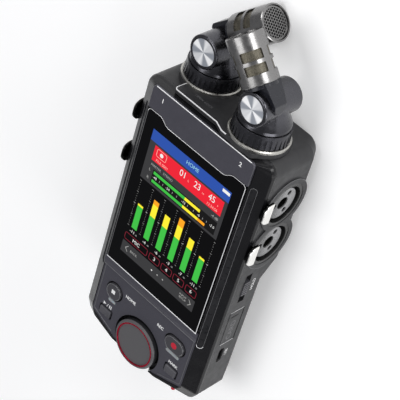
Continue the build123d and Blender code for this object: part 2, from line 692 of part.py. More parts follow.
def capsule_sleeve():
    end = CAPSULE_END
    sleeve = along_capsule((CAPSULE_BASE, end), CAPSULE_R)
    sleeve = chamfer(sleeve.edges().filter_by(GeomType.CIRCLE), EDGE_BREAK)
    sleeve -= along_capsule((CAPSULE_BASE - 1, end + 1), CAPSULE_BORE_R)
    for row in WINDOW_ROWS:
        for quarter in range(4):
            slot = Pos(0, 0, 7) * Box(SLOT_HEIGHT, SLOT_WIDTH, 4)
            slot = fillet(slot.edges().filter_by(Axis.Z), 0.4)
            sleeve -= Pos(row - end, CAPSULE_AXIS, 0) * Rot(45 + 90 * quarter, 0, 0) * slot
    return tilted(sleeve)


def capsule_mesh():
    end = CAPSULE_END
    tube = along_capsule((CAPSULE_BASE + 0.1, end - 4.5), CAPSULE_BORE_R)
    return tilted(tube - along_capsule((CAPSULE_BASE, end), CAPSULE_BORE_R - 0.5))


def capsule_grille():
    end = CAPSULE_END
    face = Circle(CAPSULE_BORE_R)
    holes = []
    for row in range(-5, 6):
        for column in range(-5, 6):
            x = (column + (row % 2) / 2) * GRILLE_PITCH
            y = row * GRILLE_PITCH * sqrt(3) / 2
            if sqrt(x * x + y * y) < CAPSULE_BORE_R - 1.0:
                holes.append(Pos(x, y) * Circle(GRILLE_HOLE_R))
    disc = extrude(face - holes, GRILLE_T)
    return tilted(Pos(0.4 - end, CAPSULE_AXIS, 0) * Rot(0, 90, 0) * disc)


def mic_capsule():
    end = CAPSULE_END
    drum = along_capsule((end - 6.2, end - 1.6), 6.2)
    clamp = along_capsule((end - 4.4, end - 1.2), CAPSULE_BORE_R) - along_capsule((end - 5, end), 6.2)
    return tilted(drum + clamp)


def lock_ring():
    """Knurled nut, slightly smaller at its top."""
    ring = Pos(0, middle(RING_Y), 0) * Rot(-90, 0, 0) * Cone(RING_R[0], RING_R[1], length(RING_Y))
    teeth = 34
    rib = Pos(RING_R[0] + 0.15, RING_Y[0] + 2.1, 0) * Box(1.2, 5.8, 1.1)
    grooves = [Rot(0, 360 / teeth * index, 0) * rib for index in range(teeth)]
    return ring - grooves - rod_y(0, (RING_Y[0] - 1, RING_Y[1] + 1), 0, RING_BORE_R)


def mic_socket():
    flange = rod_y(0, (DECK_Y[1], SOCKET_TOP_Y), 0, SOCKET_R)
    flange = chamfer(flange.edges().filter_by(GeomType.CIRCLE).sort_by(Axis.Y)[-1], 0.5)
    tube = rod_y(0, (PLUG_BOTTOM_Y - 1.5, DECK_Y[1]), 0, 6.5)
    return flange + tube - rod_y(0, (PLUG_BOTTOM_Y - 0.5, SOCKET_TOP_Y + 1), 0, PLUG_R + RUNNING_GAP)


def placed(solid, side):
    if side == "right":
        return Pos(STEM_X, 0, STEM_Z[side]) * solid
    return Pos(-STEM_X, 0, STEM_Z[side]) * Rot(0, 180, 0) * solid


# ---- everything ---------------------------------------------------------------------------
FIXED = {
    "front_housing": front_housing, "rear_housing": rear_housing, "top_deck": top_deck,
    "top_bezel_plate": top_bezel_plate, "control_panel_plate": control_panel_plate,
    "display_window": display_window, "display_module": display_module, "light_bars": light_bars,
    "bottom_lens": bottom_lens, "main_board": main_board, "input_board": input_board,
    "jog_encoder": jog_encoder, "tact_switches": tact_switches, "sd_slot": sd_slot,
    "usb_port": usb_port, "audio_jacks": audio_jacks, "battery_tray": battery_tray,
    "battery_cells": battery_cells, "battery_contacts": battery_contacts, "speaker": speaker,
    "tripod_insert": tripod_insert, "housing_screws": housing_screws,
}
MOVING = {
    "jog_dial": jog_dial, "dial_ring": dial_ring, "stop_button": stop_button,
    "rec_button": rec_button, "power_slider": power_slider, "sd_door": sd_door,
    "battery_cover": battery_cover,
}
MICROPHONE = {
    "lock_ring": lock_ring, "mic_barrel": mic_barrel,
    "barrel_discs": barrel_discs, "mic_arm": mic_arm, "capsule_sleeve": capsule_sleeve,
    "capsule_mesh": capsule_mesh, "capsule_grille": capsule_grille, "mic_capsule": mic_capsule,
}

os.makedirs("parts", exist_ok=True)
for name, maker in {**FIXED, **MOVING}.items():
    save(name, maker())
save("side_rails", both_sides(rail(0, RAIL_T, RAIL_SINK)))
save("play_button", key(-KEY_X))
save("mark_button", key(KEY_X))
save("volume_up", volume_key(VOLUME_Y[0]))
save("volume_down", volume_key(VOLUME_Y[1]))
for side in ("left", "right"):
    save(f"combo_shells_{side}", jacks(jack_shell, side))
    save(f"combo_inserts_{side}", jacks(jack_insert, side))
    for number, y in enumerate(JACK_Y, start=1):
        save(f"latch_tab_{side}_{number}", latch_tab(y, side))
    save(f"mic_socket_{side}", common(placed(mic_socket(), side), ABOVE_BACK))
    for name, maker in MICROPHONE.items():
        save(f"{name}_{side}", placed(maker(), side))
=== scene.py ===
import math

import bmesh
import bpy
from mathutils import Matrix, Quaternion, Vector


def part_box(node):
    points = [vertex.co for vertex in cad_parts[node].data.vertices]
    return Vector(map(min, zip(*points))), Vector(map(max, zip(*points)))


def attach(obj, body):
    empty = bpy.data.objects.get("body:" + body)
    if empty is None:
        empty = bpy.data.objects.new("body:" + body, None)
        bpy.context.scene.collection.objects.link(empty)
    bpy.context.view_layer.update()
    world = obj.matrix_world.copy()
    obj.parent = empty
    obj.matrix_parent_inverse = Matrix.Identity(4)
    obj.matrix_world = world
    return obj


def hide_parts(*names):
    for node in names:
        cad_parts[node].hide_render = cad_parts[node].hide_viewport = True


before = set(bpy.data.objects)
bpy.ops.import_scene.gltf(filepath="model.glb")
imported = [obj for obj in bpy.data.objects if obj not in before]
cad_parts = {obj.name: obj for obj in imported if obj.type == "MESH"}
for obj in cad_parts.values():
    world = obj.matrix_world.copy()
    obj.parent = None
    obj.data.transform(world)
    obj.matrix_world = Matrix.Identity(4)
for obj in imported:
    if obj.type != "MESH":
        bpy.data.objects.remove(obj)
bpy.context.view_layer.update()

MM = 0.001
ROOT = "case"

# ---- places, read from the frame -----------------------------------------------------------
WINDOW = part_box("display_window")
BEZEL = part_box("top_bezel_plate")

DISPLAY_H = 73.4                      # lit area, mm
DISPLAY_W = 49.0
WINDOW_BELOW = 45.5                   # window's lower edge, below the display's middle
MIDDLE = Vector((0, WINDOW[0].y + WINDOW_BELOW * MM, 0))
GLASS_Z = WINDOW[1].z / MM
LIGHT_BAR_RISE = 0.15                 # how far the light bars stand out of the panel
PANEL_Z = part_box("light_bars")[1].z / MM - LIGHT_BAR_RISE
BEZEL_Z = BEZEL[1].z / MM
STOP_AT, REC_AT = (-21.0, -63.2), (21.0, -62.7)      # middles of the two round buttons
SENSOR = 36.0                         # camera sensor's width, mm
CAP_HEIGHT = 0.72                     # capital letters' height over the font's size


def at(x, y, z):
    """Point in metres from millimetres measured from the middle of the display."""
    return MIDDLE + Vector((x, y, z)) * MM


def as_mesh(curve):
    """The mesh that a curve or lettering makes."""
    temp = bpy.data.objects.new(curve.name, curve)
    bpy.context.scene.collection.objects.link(temp)
    bpy.context.view_layer.update()
    mesh = bpy.data.meshes.new_from_object(temp.evaluated_get(bpy.context.evaluated_depsgraph_get()))
    bpy.data.objects.remove(temp)
    return mesh


def lettering(words, height, thickness, align="CENTER", bold=0.0):
    """Flat-backed letters in the XY plane, centred on their thickness; sizes in millimetres."""
    curve = bpy.data.curves.new("words", "FONT")
    curve.body = words
    curve.offset = bold * MM
    curve.size = height / CAP_HEIGHT * MM
    curve.align_x = align
    curve.align_y = "CENTER"
    curve.extrude = thickness / 2 * MM
    return as_mesh(curve)


def linked(name, data):
    """New object in the scene."""
    obj = bpy.data.objects.new(name, data)
    bpy.context.scene.collection.objects.link(obj)
    return obj


# ---- materials -----------------------------------------------------------------------------
class Finish:
    """A Principled material, built up one effect at a time."""

    def __init__(self, name, color, rough, metal=0.0, specular=0.5):
        self.material = bpy.data.materials.new(name)
        self.material.use_nodes = True
        self.nodes = self.material.node_tree.nodes
        self.links = self.material.node_tree.links
        self.shader = self.nodes["Principled BSDF"]
        self.set("Base Color", (*color, 1.0))
        self.set("Roughness", rough)
        self.set("Metallic", metal)
        self.set("Specular IOR Level", specular)
        self.color = color
        self.rough = rough
        self.normal = None
        self.coords = self.add("ShaderNodeTexCoord").outputs["Object"]

    def add(self, kind):
        return self.nodes.new(kind)

    def set(self, socket, value):
        self.shader.inputs[socket].default_value = value
        return self

    def noise(self, grain_mm, detail=3.0, stretch=(1, 1, 1), turn=(0, 0, 0)):
        """Noise whose features are about grain_mm across, longer where stretch is over 1."""
        mapping = self.add("ShaderNodeMapping")
        mapping.inputs["Rotation"].default_value = turn
        mapping.inputs["Scale"].default_value = [1 / (grain_mm * MM * s) for s in stretch]
        noise = self.add("ShaderNodeTexNoise")
        noise.inputs["Scale"].default_value = 1.0
        noise.inputs["Detail"].default_value = detail
        self.links.new(self.coords, mapping.inputs["Vector"])
        self.links.new(mapping.outputs["Vector"], noise.inputs["Vector"])
        return noise.outputs["Fac"]

    def ramp(self, value, low, high, start=0.3, end=0.7):
        spread = self.add("ShaderNodeMapRange")
        spread.inputs["From Min"].default_value = start
        spread.inputs["From Max"].default_value = end
        spread.inputs["To Min"].default_value = low
        spread.inputs["To Max"].default_value = high
        self.links.new(value, spread.inputs["Value"])
        return spread.outputs["Result"]

    def bump(self, height, depth_mm, strength=1.0):
        bump = self.add("ShaderNodeBump")
        bump.inputs["Strength"].default_value = strength
        bump.inputs["Distance"].default_value = depth_mm * MM
        self.links.new(height, bump.inputs["Height"])
        if self.normal:
            self.links.new(self.normal, bump.inputs["Normal"])
        self.normal = bump.outputs["Normal"]
        self.links.new(self.normal, self.shader.inputs["Normal"])
        return self

    def maths(self, operation, first, second=None):
        """A maths node; its inputs are numbers or other nodes' outputs."""
        node = self.add("ShaderNodeMath")
        node.operation = operation
        for socket, value in zip(node.inputs, (first, second)):
            if isinstance(value, (int, float)):
                socket.default_value = value
            elif value is not None:
                self.links.new(value, socket)
        return node.outputs[0]

    def parts(self):
        """The object coordinates, one axis at a time."""
        split = self.add("ShaderNodeSeparateXYZ")
        self.links.new(self.coords, split.inputs["Vector"])
        return split.outputs

    def soft_edges(self, radius_mm):
        edge = self.add("ShaderNodeBevel")
        edge.samples = 4
        edge.inputs["Radius"].default_value = radius_mm * MM
        self.normal = edge.outputs["Normal"]
        self.links.new(self.normal, self.shader.inputs["Normal"])
        return self

    def vary_rough(self, value, amount):
        self.links.new(self.ramp(value, self.rough - amount, self.rough + amount),
                       self.shader.inputs["Roughness"])
        return self

    def vary_color(self, value, other, start=0.35, end=0.65):
        mix = self.add("ShaderNodeMix")
        mix.data_type = "RGBA"
        mix.inputs["A"].default_value = (*self.color, 1.0)
        mix.inputs["B"].default_value = (*other, 1.0)
        self.links.new(self.ramp(value, 0.0, 1.0, start, end), mix.inputs["Factor"])
        self.links.new(mix.outputs["Result"], self.shader.inputs["Base Color"])
        return self


def moulded(name, color, rough, grain_mm=0.22, depth_mm=0.012, edge_mm=0.35):
    """Moulded plastic with a fine spark-eroded grain and slight handling marks."""
    f = Finish(name, color, rough).soft_edges(edge_mm)
    f.vary_color(f.noise(9.0, 4), [c * 1.25 + 0.004 for c in color])
    f.vary_rough(f.noise(2.5, 5), 0.06)
    f.bump(f.noise(grain_mm, 2), depth_mm)
    return f


def gloss_plastic(name, color, rough=0.16, edge_mm=0.5, specular=0.4, coat=0.3):
    """Polished plastic: a clear skin over the colour, with faint waves in it."""
    f = Finish(name, color, rough, specular=specular).soft_edges(edge_mm)
    f.set("Coat Weight", coat).set("Coat Roughness", 0.08)
    f.vary_rough(f.noise(6.0, 5), 0.05)
    f.bump(f.noise(3.0, 2), 0.006)
    return f


def metallic_paint(name, color, rough=0.34):
    """Satin paint with fine flake."""
    f = Finish(name, color, rough, metal=0.55).soft_edges(0.18)
    f.vary_color(f.noise(0.12, 2), [c * 1.5 for c in color], 0.45, 0.75)
    f.vary_rough(f.noise(4.0, 4), 0.05)
    f.bump(f.noise(0.18, 2), 0.006)
    return f


def turned_metal(name, color, rough, stretch, turn=(0, 0, 0), anisotropy=0.5, edge_mm=0.15):
    """Metal with fine tool lines: the noise is stretched along the cut."""
    f = Finish(name, color, rough, metal=1.0)
    if edge_mm:
        f.soft_edges(edge_mm)
    f.set("Anisotropic", anisotropy)
    lines = f.noise(0.06, 2, stretch, turn)
    f.vary_color(lines, [c * 0.9 for c in color], 0.3, 0.7)
    f.vary_rough(f.noise(2.0, 4), 0.06)
    f.bump(lines, 0.0004)
    return f


def glow(name, color, strength=1.0):
    """Lit picture element behind a polished surface."""
    f = Finish(name, [c * 0.08 for c in color], 0.12, specular=0.3)
    f.set("Emission Color", (*color, 1.0)).set("Emission Strength", strength)
    f.bump(f.noise(0.2, 1), 0.001)
    return f.material


def spun_disc(name):
    """Disc cut by a rotating tool: fine rings, and sectors that catch the light."""
    f = Finish(name, (0.96, 0.965, 0.975), 0.28, metal=0.1)
    f.set("Anisotropic", 0.85)
    tangent = f.add("ShaderNodeTangent")
    tangent.direction_type = "RADIAL"
    tangent.axis = "Z"
    f.links.new(tangent.outputs["Tangent"], f.shader.inputs["Tangent"])
    return f


SPIN_PITCH = 0.14      # mm between the rings that the tool left
# Painted reflection: counts and shift of the light and dark sectors painted into the discs' colour.
SECTORS, SLOW_SECTORS, SLOW_SHIFT = 4.0, 6.0, 1.1


def disc_finish(node):
    """The spun finish, centred on a node's own middle, with tool rings in its bump and sectors of painted
    reflection in its colour.
    """
    low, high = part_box(node)
    f = spun_disc(node + "_finish")
    offset = f.add("ShaderNodeMapping")
    centre = (low + high) / 2
    offset.inputs["Location"].default_value = (-centre.x, -centre.y, 0)
    f.links.new(f.coords, offset.inputs["Vector"])
    parts = f.add("ShaderNodeSeparateXYZ")
    f.links.new(offset.outputs["Vector"], parts.inputs["Vector"])

    maths = f.maths
    angle = maths("ARCTAN2", parts.outputs["Y"], parts.outputs["X"])
    sectors = maths("SINE", maths("MULTIPLY", angle, SECTORS))
    slow = maths("SINE", maths("ADD", maths("MULTIPLY", angle, SLOW_SECTORS), SLOW_SHIFT))
    # Painted reflection: light and dark sectors round the disc, laid into its colour below.
    painted_sheen = maths("ADD", maths("MULTIPLY", sectors, 0.6), maths("MULTIPLY", slow, 0.4))
    f.vary_color(painted_sheen, (0.30, 0.32, 0.36), -0.5, 0.4)
    radius = maths("SQRT", maths("ADD", maths("MULTIPLY", parts.outputs["X"], parts.outputs["X"]),
                                 maths("MULTIPLY", parts.outputs["Y"], parts.outputs["Y"])))
    rings = maths("SINE", maths("MULTIPLY", radius, 2 * math.pi / (SPIN_PITCH * MM)))
    f.bump(rings, 0.0025)
    return f.material


def woven(name):
    """Fine metal cloth behind the capsule slots."""
    f = Finish(name, (0.20, 0.185, 0.145), 0.42, metal=0.8)
    weave = f.add("ShaderNodeTexVoronoi")
    weave.inputs["Scale"].default_value = 1 / (0.28 * MM)
    f.links.new(f.coords, weave.inputs["Vector"])
    f.vary_color(weave.outputs["Distance"], (0.07, 0.063, 0.048), 0.25, 0.6)
    f.bump(weave.outputs["Distance"], 0.05)
    return f.material


TURN_45 = math.radians(45)
charcoal = moulded("charcoal_moulding", (0.018, 0.018, 0.0195), 0.44)
charcoal.set("Specular IOR Level", 0.4)
gloss = gloss_plastic("gloss_black_moulding", (0.005, 0.005, 0.006), 0.24, 0.6, 0.25, 0.1)
slate = metallic_paint("slate_paint", (0.080, 0.078, 0.096))
gloss.vary_color(gloss.parts()["Y"], (0.018, 0.018, 0.0195), BEZEL[1].y, BEZEL[1].y + 0.15 * MM)
rail_finish = moulded("rail_moulding", (0.009, 0.009, 0.0105), 0.3, 0.3, 0.004)
rail_finish.set("Specular IOR Level", 0.2)
rear_port = turned_metal("port_shell", (0.10, 0.10, 0.10), 0.4, (1, 20, 1))
window_finish = gloss_plastic("window_black_glass", (0.002, 0.002, 0.0025), 0.06, 0.1, 0.1, 0.0)
button_finish = gloss_plastic("button_moulding", (0.045, 0.044, 0.05), 0.22, 0.3)
key_finish = moulded("key_moulding", (0.055, 0.054, 0.062), 0.35, 0.15, 0.006)
dial_finish = moulded("dial_moulding", (0.085, 0.083, 0.088), 0.42, 0.16, 0.006, 0.3)
DIAL_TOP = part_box("jog_dial")[1].z
# Painted shade: the dial's side wall below its top face is darkened, standing for the shadow in the well
# round it.
dial_finish.vary_color(dial_finish.parts()["Z"], (0.016, 0.016, 0.018),
                       DIAL_TOP - 0.7 * MM, DIAL_TOP - 1.2 * MM)
red_metal = turned_metal("red_anodised", (0.62, 0.014, 0.05), 0.28, (1, 1, 1))
silver = turned_metal("turned_silver", (0.48, 0.47, 0.44), 0.3, (30, 1, 30), anisotropy=0.2)
black_metal = Finish("black_anodised", (0.04, 0.04, 0.047), 0.3, metal=0.9).soft_edges(0.25)
black_metal.set("Coat Weight", 0.3).set("Coat Roughness", 0.2)
black_metal.vary_rough(black_metal.noise(1.5, 5), 0.05).bump(black_metal.noise(0.12, 2), 0.003)
barrel_metal = Finish("satin_black_chrome", (0.08, 0.08, 0.09), 0.26, metal=1.0).soft_edges(0.3)
barrel_metal.set("Coat Weight", 0.3).set("Coat Roughness", 0.25)
DOME_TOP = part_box("lock_ring_right")[1].y + 4.5 * MM
# Painted light: the barrel part gets a lighter black chrome than the dome below it, standing for the
# highlight the barrel catches; the dome keeps the darker, shaded tone.
barrel_metal.vary_color(barrel_metal.parts()["Y"], (0.045, 0.045, 0.052),
                        DOME_TOP + 2 * MM, DOME_TOP - 3 * MM)
barrel_metal.vary_rough(barrel_metal.noise(1.5, 5), 0.04).bump(barrel_metal.noise(0.12, 2), 0.002)
navy_metal = Finish("arm_paint", (0.014, 0.015, 0.021), 0.3, metal=0.5).soft_edges(0.7)
navy_metal.set("Coat Weight", 0.4).set("Coat Roughness", 0.2)
navy_metal.vary_rough(navy_metal.noise(1.5, 5), 0.05).bump(navy_metal.noise(0.15, 2), 0.004)
latch_metal = turned_metal("satin_nickel", (0.88, 0.87, 0.84), 0.3, (1, 40, 1))
PADDLE_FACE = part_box("latch_tab_right_1")[1].x
# Painted shade: the tabs are near black everywhere except their outer face, standing for the shadow on
# their inner and front faces.
reach = latch_metal.maths("ABSOLUTE", latch_metal.parts()["X"])
latch_metal.vary_color(reach, (0.012, 0.012, 0.012), PADDLE_FACE - 0.35 * MM, PADDLE_FACE - 0.6 * MM)
port_steel = turned_metal("plated_steel", (0.55, 0.55, 0.55), 0.3, (1, 20, 1))
socket_black = moulded("connector_black", (0.012, 0.012, 0.012), 0.3, 0.3, 0.004)
socket_grey = Finish("connector_grey", (0.27, 0.27, 0.275), 0.3)
socket_grey.soft_edges(0.2).vary_rough(socket_grey.noise(1.2, 4), 0.08)
INSERT_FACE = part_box("combo_inserts_right")[1].x
INSERT_Z = (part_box("combo_inserts_right")[0].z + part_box("combo_inserts_right")[1].z) / 2
# Painted shade: the insert darkens deeper in from its face, standing for the shade inside the connector; it
# also darkens towards the top, in speckles.
reach = socket_grey.maths("ABSOLUTE", socket_grey.parts()["X"])
painted_recess_shade = socket_grey.ramp(reach, 0.0, 1.0, INSERT_FACE - 0.1 * MM, INSERT_FACE - 0.8 * MM)
upper_darkening = socket_grey.ramp(socket_grey.parts()["Z"], 0.1, 0.75,
                          INSERT_Z - 1.0 * MM, INSERT_Z + 4.0 * MM)
speckle = socket_grey.ramp(socket_grey.noise(0.9, 4), 0.7, 1.0)
dark = socket_grey.maths("MAXIMUM", painted_recess_shade, socket_grey.maths("MULTIPLY", upper_darkening, speckle))
socket_grey.vary_color(dark, (0.005, 0.005, 0.005), 0.0, 1.0)
socket_grey.bump(socket_grey.noise(0.35, 3), 0.03)
light_guide = Finish("light_guide", (0.36, 0.355, 0.355), 0.4).soft_edges(0.2)
light_guide.set("Subsurface Weight", 0.2).bump(light_guide.noise(0.4, 2), 0.005)
red_lens = gloss_plastic("red_lens", (0.5, 0.01, 0.03), 0.12, 0.3)
brass = turned_metal("threaded_brass", (0.72, 0.52, 0.24), 0.3, (20, 20, 1))
board_green = moulded("circuit_board", (0.01, 0.08, 0.04), 0.4, 0.5, 0.004)
component = moulded("component_case", (0.03, 0.03, 0.03), 0.5)
cell_wrap = gloss_plastic("cell_wrap", (0.05, 0.06, 0.07), 0.3)
# Black of the capsule; also laid on the grille's hole walls as painted shade.
capsule_black_and_hole_shade = moulded("capsule_black_and_hole_shade", (0.006, 0.006, 0.006), 0.6)
white_print = Finish("white_print", (0.82, 0.82, 0.82), 0.5)
white_print.vary_rough(white_print.noise(0.3, 2), 0.08)
# Painted highlight: bright bead material for edges that catch the light.
painted_highlight = Finish("painted_edge_highlight", (0.82, 0.82, 0.83), 0.3, metal=0.2)
painted_highlight.vary_rough(painted_highlight.noise(0.8, 3), 0.06).bump(painted_highlight.noise(0.3, 2), 0.003)
engraved = Finish("engraved_letters", (0.12, 0.12, 0.125), 0.5)
engraved.vary_rough(engraved.noise(0.3, 2), 0.08).bump(engraved.noise(0.2, 2), 0.004)
# Painted highlight, dimmer: bead material for edges that catch a little light.
painted_dim_highlight = Finish("painted_dim_edge_highlight", (0.17, 0.17, 0.178), 0.35, metal=0.35)
painted_dim_highlight.vary_rough(painted_dim_highlight.noise(0.8, 3), 0.06).bump(painted_dim_highlight.noise(0.3, 2), 0.003)

SLEEVE_TURN = {"left": -TURN_45, "right": TURN_45}


def sleeve_finish(side):
    """Brushed nickel whose lines run round the capsule of that side."""
    f = turned_metal("brushed_nickel_" + side, (0.26, 0.256, 0.254), 0.28, (1, 40, 40),
                     (0, 0, SLEEVE_TURN[side.split("_")[0]]), 0.2, 0)
    return f.material


def paint(node, finish):
    """Give a CAD node its finished material."""
    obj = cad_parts[node]
    obj.data.materials.clear()
    obj.data.materials.append(finish)


NODE_FINISH = {
    "front_housing": gloss, "rear_housing": charcoal, "top_deck": charcoal, "top_bezel_plate": slate,
    "control_panel_plate": slate, "display_window": window_finish, "display_module": window_finish,
    "light_bars": light_guide, "bottom_lens": red_lens, "main_board": board_green,
    "input_board": board_green, "jog_encoder": component, "tact_switches": component,
    "sd_slot": port_steel, "usb_port": rear_port, "audio_jacks": socket_black,
    "battery_tray": socket_black, "battery_cells": cell_wrap, "battery_contacts": port_steel,
    "speaker": component, "tripod_insert": brass, "housing_screws": port_steel,
    "side_rails": rail_finish, "jog_dial": dial_finish, "dial_ring": red_metal,
    "stop_button": button_finish, "rec_button": button_finish, "play_button": key_finish,
    "mark_button": key_finish, "power_slider": key_finish, "sd_door": charcoal,
    "battery_cover": charcoal, "volume_up": key_finish, "volume_down": key_finish,
}
for node, f in NODE_FINISH.items():
    paint(node, f.material)
for side in ("left", "right"):
    paint("combo_shells_" + side, socket_black.material)
    paint("combo_inserts_" + side, socket_grey.material)
    for number in ("1", "2"):
        paint("latch_tab_" + side + "_" + number, latch_metal.material)
    paint("mic_socket_" + side, silver.material)
    paint("lock_ring_" + side, black_metal.material)
    paint("mic_barrel_" + side, barrel_metal.material)
    paint("barrel_discs_" + side, disc_finish("barrel_discs_" + side))
    paint("mic_arm_" + side, navy_metal.material)
    paint("capsule_sleeve_" + side, sleeve_finish(side))
    paint("capsule_mesh_" + side, woven("capsule_cloth_" + side))
    paint("capsule_grille_" + side, sleeve_finish(side))
    paint("mic_capsule_" + side, capsule_black_and_hole_shade.material)


# ---- flat artwork: screen picture and printed labels ----------------------------------------
class Artwork:
    """Thin solid shapes of one colour, drawn in millimetres from the display's middle."""

    def __init__(self, name, material, low, high):
        self.name, self.material, self.low, self.high = name, material, low, high
        self.bm = bmesh.new()

    def outline(self, points):
        """Closed shape with flat faces, from its corners in order."""
        bottom = [self.bm.verts.new(at(x, y, self.low)) for x, y in points]
        top = [self.bm.verts.new(at(x, y, self.high)) for x, y in points]
        self.bm.faces.new(top)
        self.bm.faces.new(bottom[::-1])
        count = len(points)
        for i in range(count):
            j = (i + 1) % count
            self.bm.faces.new((bottom[i], bottom[j], top[j], top[i]))

    def rect(self, x, y):
        self.outline([(x[0], y[0]), (x[1], y[0]), (x[1], y[1]), (x[0], y[1])])

    def disc(self, x, y, radius, steps=24):
        turns = [2 * math.pi * i / steps for i in range(steps)]
        self.outline([(x + radius * math.cos(a), y + radius * math.sin(a)) for a in turns])

    def frame(self, x, y, width, corner=0.6):
        """Outline box with rounded corners, as a closed band."""
        outer = rounded_box(x, y, corner)
        inner = rounded_box((x[0] + width, x[1] - width), (y[0] + width, y[1] - width), corner * 0.6)
        self.band(outer, inner)

    def band(self, outer, inner):
        rows = [[self.bm.verts.new(at(x, y, z)) for x, y in loop]
                for loop in (outer, inner) for z in (self.low, self.high)]
        count = len(outer)
        for i in range(count):
            j = (i + 1) % count
            for a, b in ((0, 1), (1, 3), (3, 2), (2, 0)):
                self.bm.faces.new((rows[a][i], rows[a][j], rows[b][j], rows[b][i]))

    def text(self, words, x, y, height, align="CENTER", squeeze=1.0, bold=0.0):
        mesh = lettering(words, height, self.high - self.low, align, bold)
        middle = at(x, y, (self.low + self.high) / 2)
        mesh.transform(Matrix.Translation(middle) @ Matrix.Diagonal((squeeze, 1, 1, 1)))
        self.bm.from_mesh(mesh)
        bpy.data.meshes.remove(mesh)

    def done(self, body=ROOT, slot="light_bar"):
        mesh = bpy.data.meshes.new(self.name)
        bmesh.ops.recalc_face_normals(self.bm, faces=self.bm.faces)
        self.bm.to_mesh(mesh)
        mesh.materials.append(self.material)
        obj = linked(self.name, mesh)
        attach(obj, body)


def rounded_box(x, y, corner, steps=5):
    """Corner points of a rounded rectangle, anticlockwise."""
    points = []
    corners = ((x[1] - corner, y[1] - corner, 0), (x[0] + corner, y[1] - corner, 90),
               (x[0] + corner, y[0] + corner, 180), (x[1] - corner, y[0] + corner, 270))
    for cx, cy, start in corners:
        for step in range(steps + 1):
            a = math.radians(start + 90 * step / steps)
            points.append((cx + corner * math.cos(a), cy + corner * math.sin(a)))
    return points


LAYER = 0.018          # thickness of one layer of the screen picture
HALF_W, HALF_H = DISPLAY_W / 2, DISPLAY_H / 2
METER_X = [-19.6 + 8.04 * i for i in range(6)]
METER_LOW, METER_KNEE, METER_HOT = -20.2, -6.4, 0.7
METER_TOP = (-5.3, 3.2, 0.6, 5.0, -0.6, -5.3)
METER_HALF = 1.65
LEVELS = ("-11", "-4", "-6", "-3", "-7", "-11")
KNEE_X, HOT_X = 2.2, 11.9              # where the two long bars change colour
WELL_TICKS = (-13.4, -11.2, -5.0, -2.2, 4.8, 8.6, 14.4, 16.8)
SCALE_COLUMNS, SCALE_ROWS = 7, 21      # dotted scales between the tall bars
SCALE_X, SCALE_STEP, SCALE_TOP = -23.3, 7.93, 7.2
FOOT_Y = -33.2                         # middle of the row of words under the bars


def layer(number):
    return GLASS_Z + number * LAYER, GLASS_Z + (number + 1) * LAYER


def screen_backgrounds():
    grey = Artwork("screen_grey_areas", glow("screen_dark_grey", (0.035, 0.035, 0.037)), *layer(0))
    grey.rect((-HALF_W, HALF_W), (8.8, 30.7))
    grey.rect((-HALF_W + 0.6, HALF_W), (-HALF_H, -29.9))
    grey.done(slot="screen")
    blue = Artwork("screen_title_bar", glow("screen_blue", (0.02, 0.075, 0.38)), *layer(0))
    blue.rect((-HALF_W, HALF_W), (30.7, HALF_H))
    blue.done(slot="screen")
    red = Artwork("screen_record_panel", glow("screen_red", (0.80, 0.012, 0.03)), *layer(1))
    red.rect((-21.0, 22.6), (21.4, 29.7))
    red.done(slot="screen")
    black = Artwork("screen_meter_well", glow("screen_black", (0.002, 0.002, 0.002)), *layer(1))
    black.rect((-18.4, 22.4), (10.0, 17.4))
    black.done(slot="screen")


def screen_meters():
    green = Artwork("screen_green_levels", glow("screen_green", (0.045, 0.50, 0.055)), *layer(2))
    yellow = Artwork("screen_yellow_levels", glow("screen_yellow", (0.95, 0.80, 0.03)), *layer(2))
    orange = Artwork("screen_orange_levels", glow("screen_orange", (0.95, 0.36, 0.01)), *layer(2))
    for x, top in zip(METER_X, METER_TOP):
        span = (x - METER_HALF, x + METER_HALF)
        green.rect(span, (METER_LOW, METER_KNEE))
        yellow.rect(span, (METER_KNEE, min(top, METER_HOT)))
        if top > METER_HOT:
            orange.rect(span, (METER_HOT, top))
    for low, high, end in ((15.2, 16.8, 12.2), (10.6, 12.1, 16.3)):
        green.rect((-17.8, KNEE_X), (low, high))
        yellow.rect((KNEE_X, min(end, HOT_X)), (low, high))
        if end > HOT_X + 1:
            orange.rect((HOT_X, end), (low, high))
    for art in (green, yellow, orange):
        art.done(slot="screen")


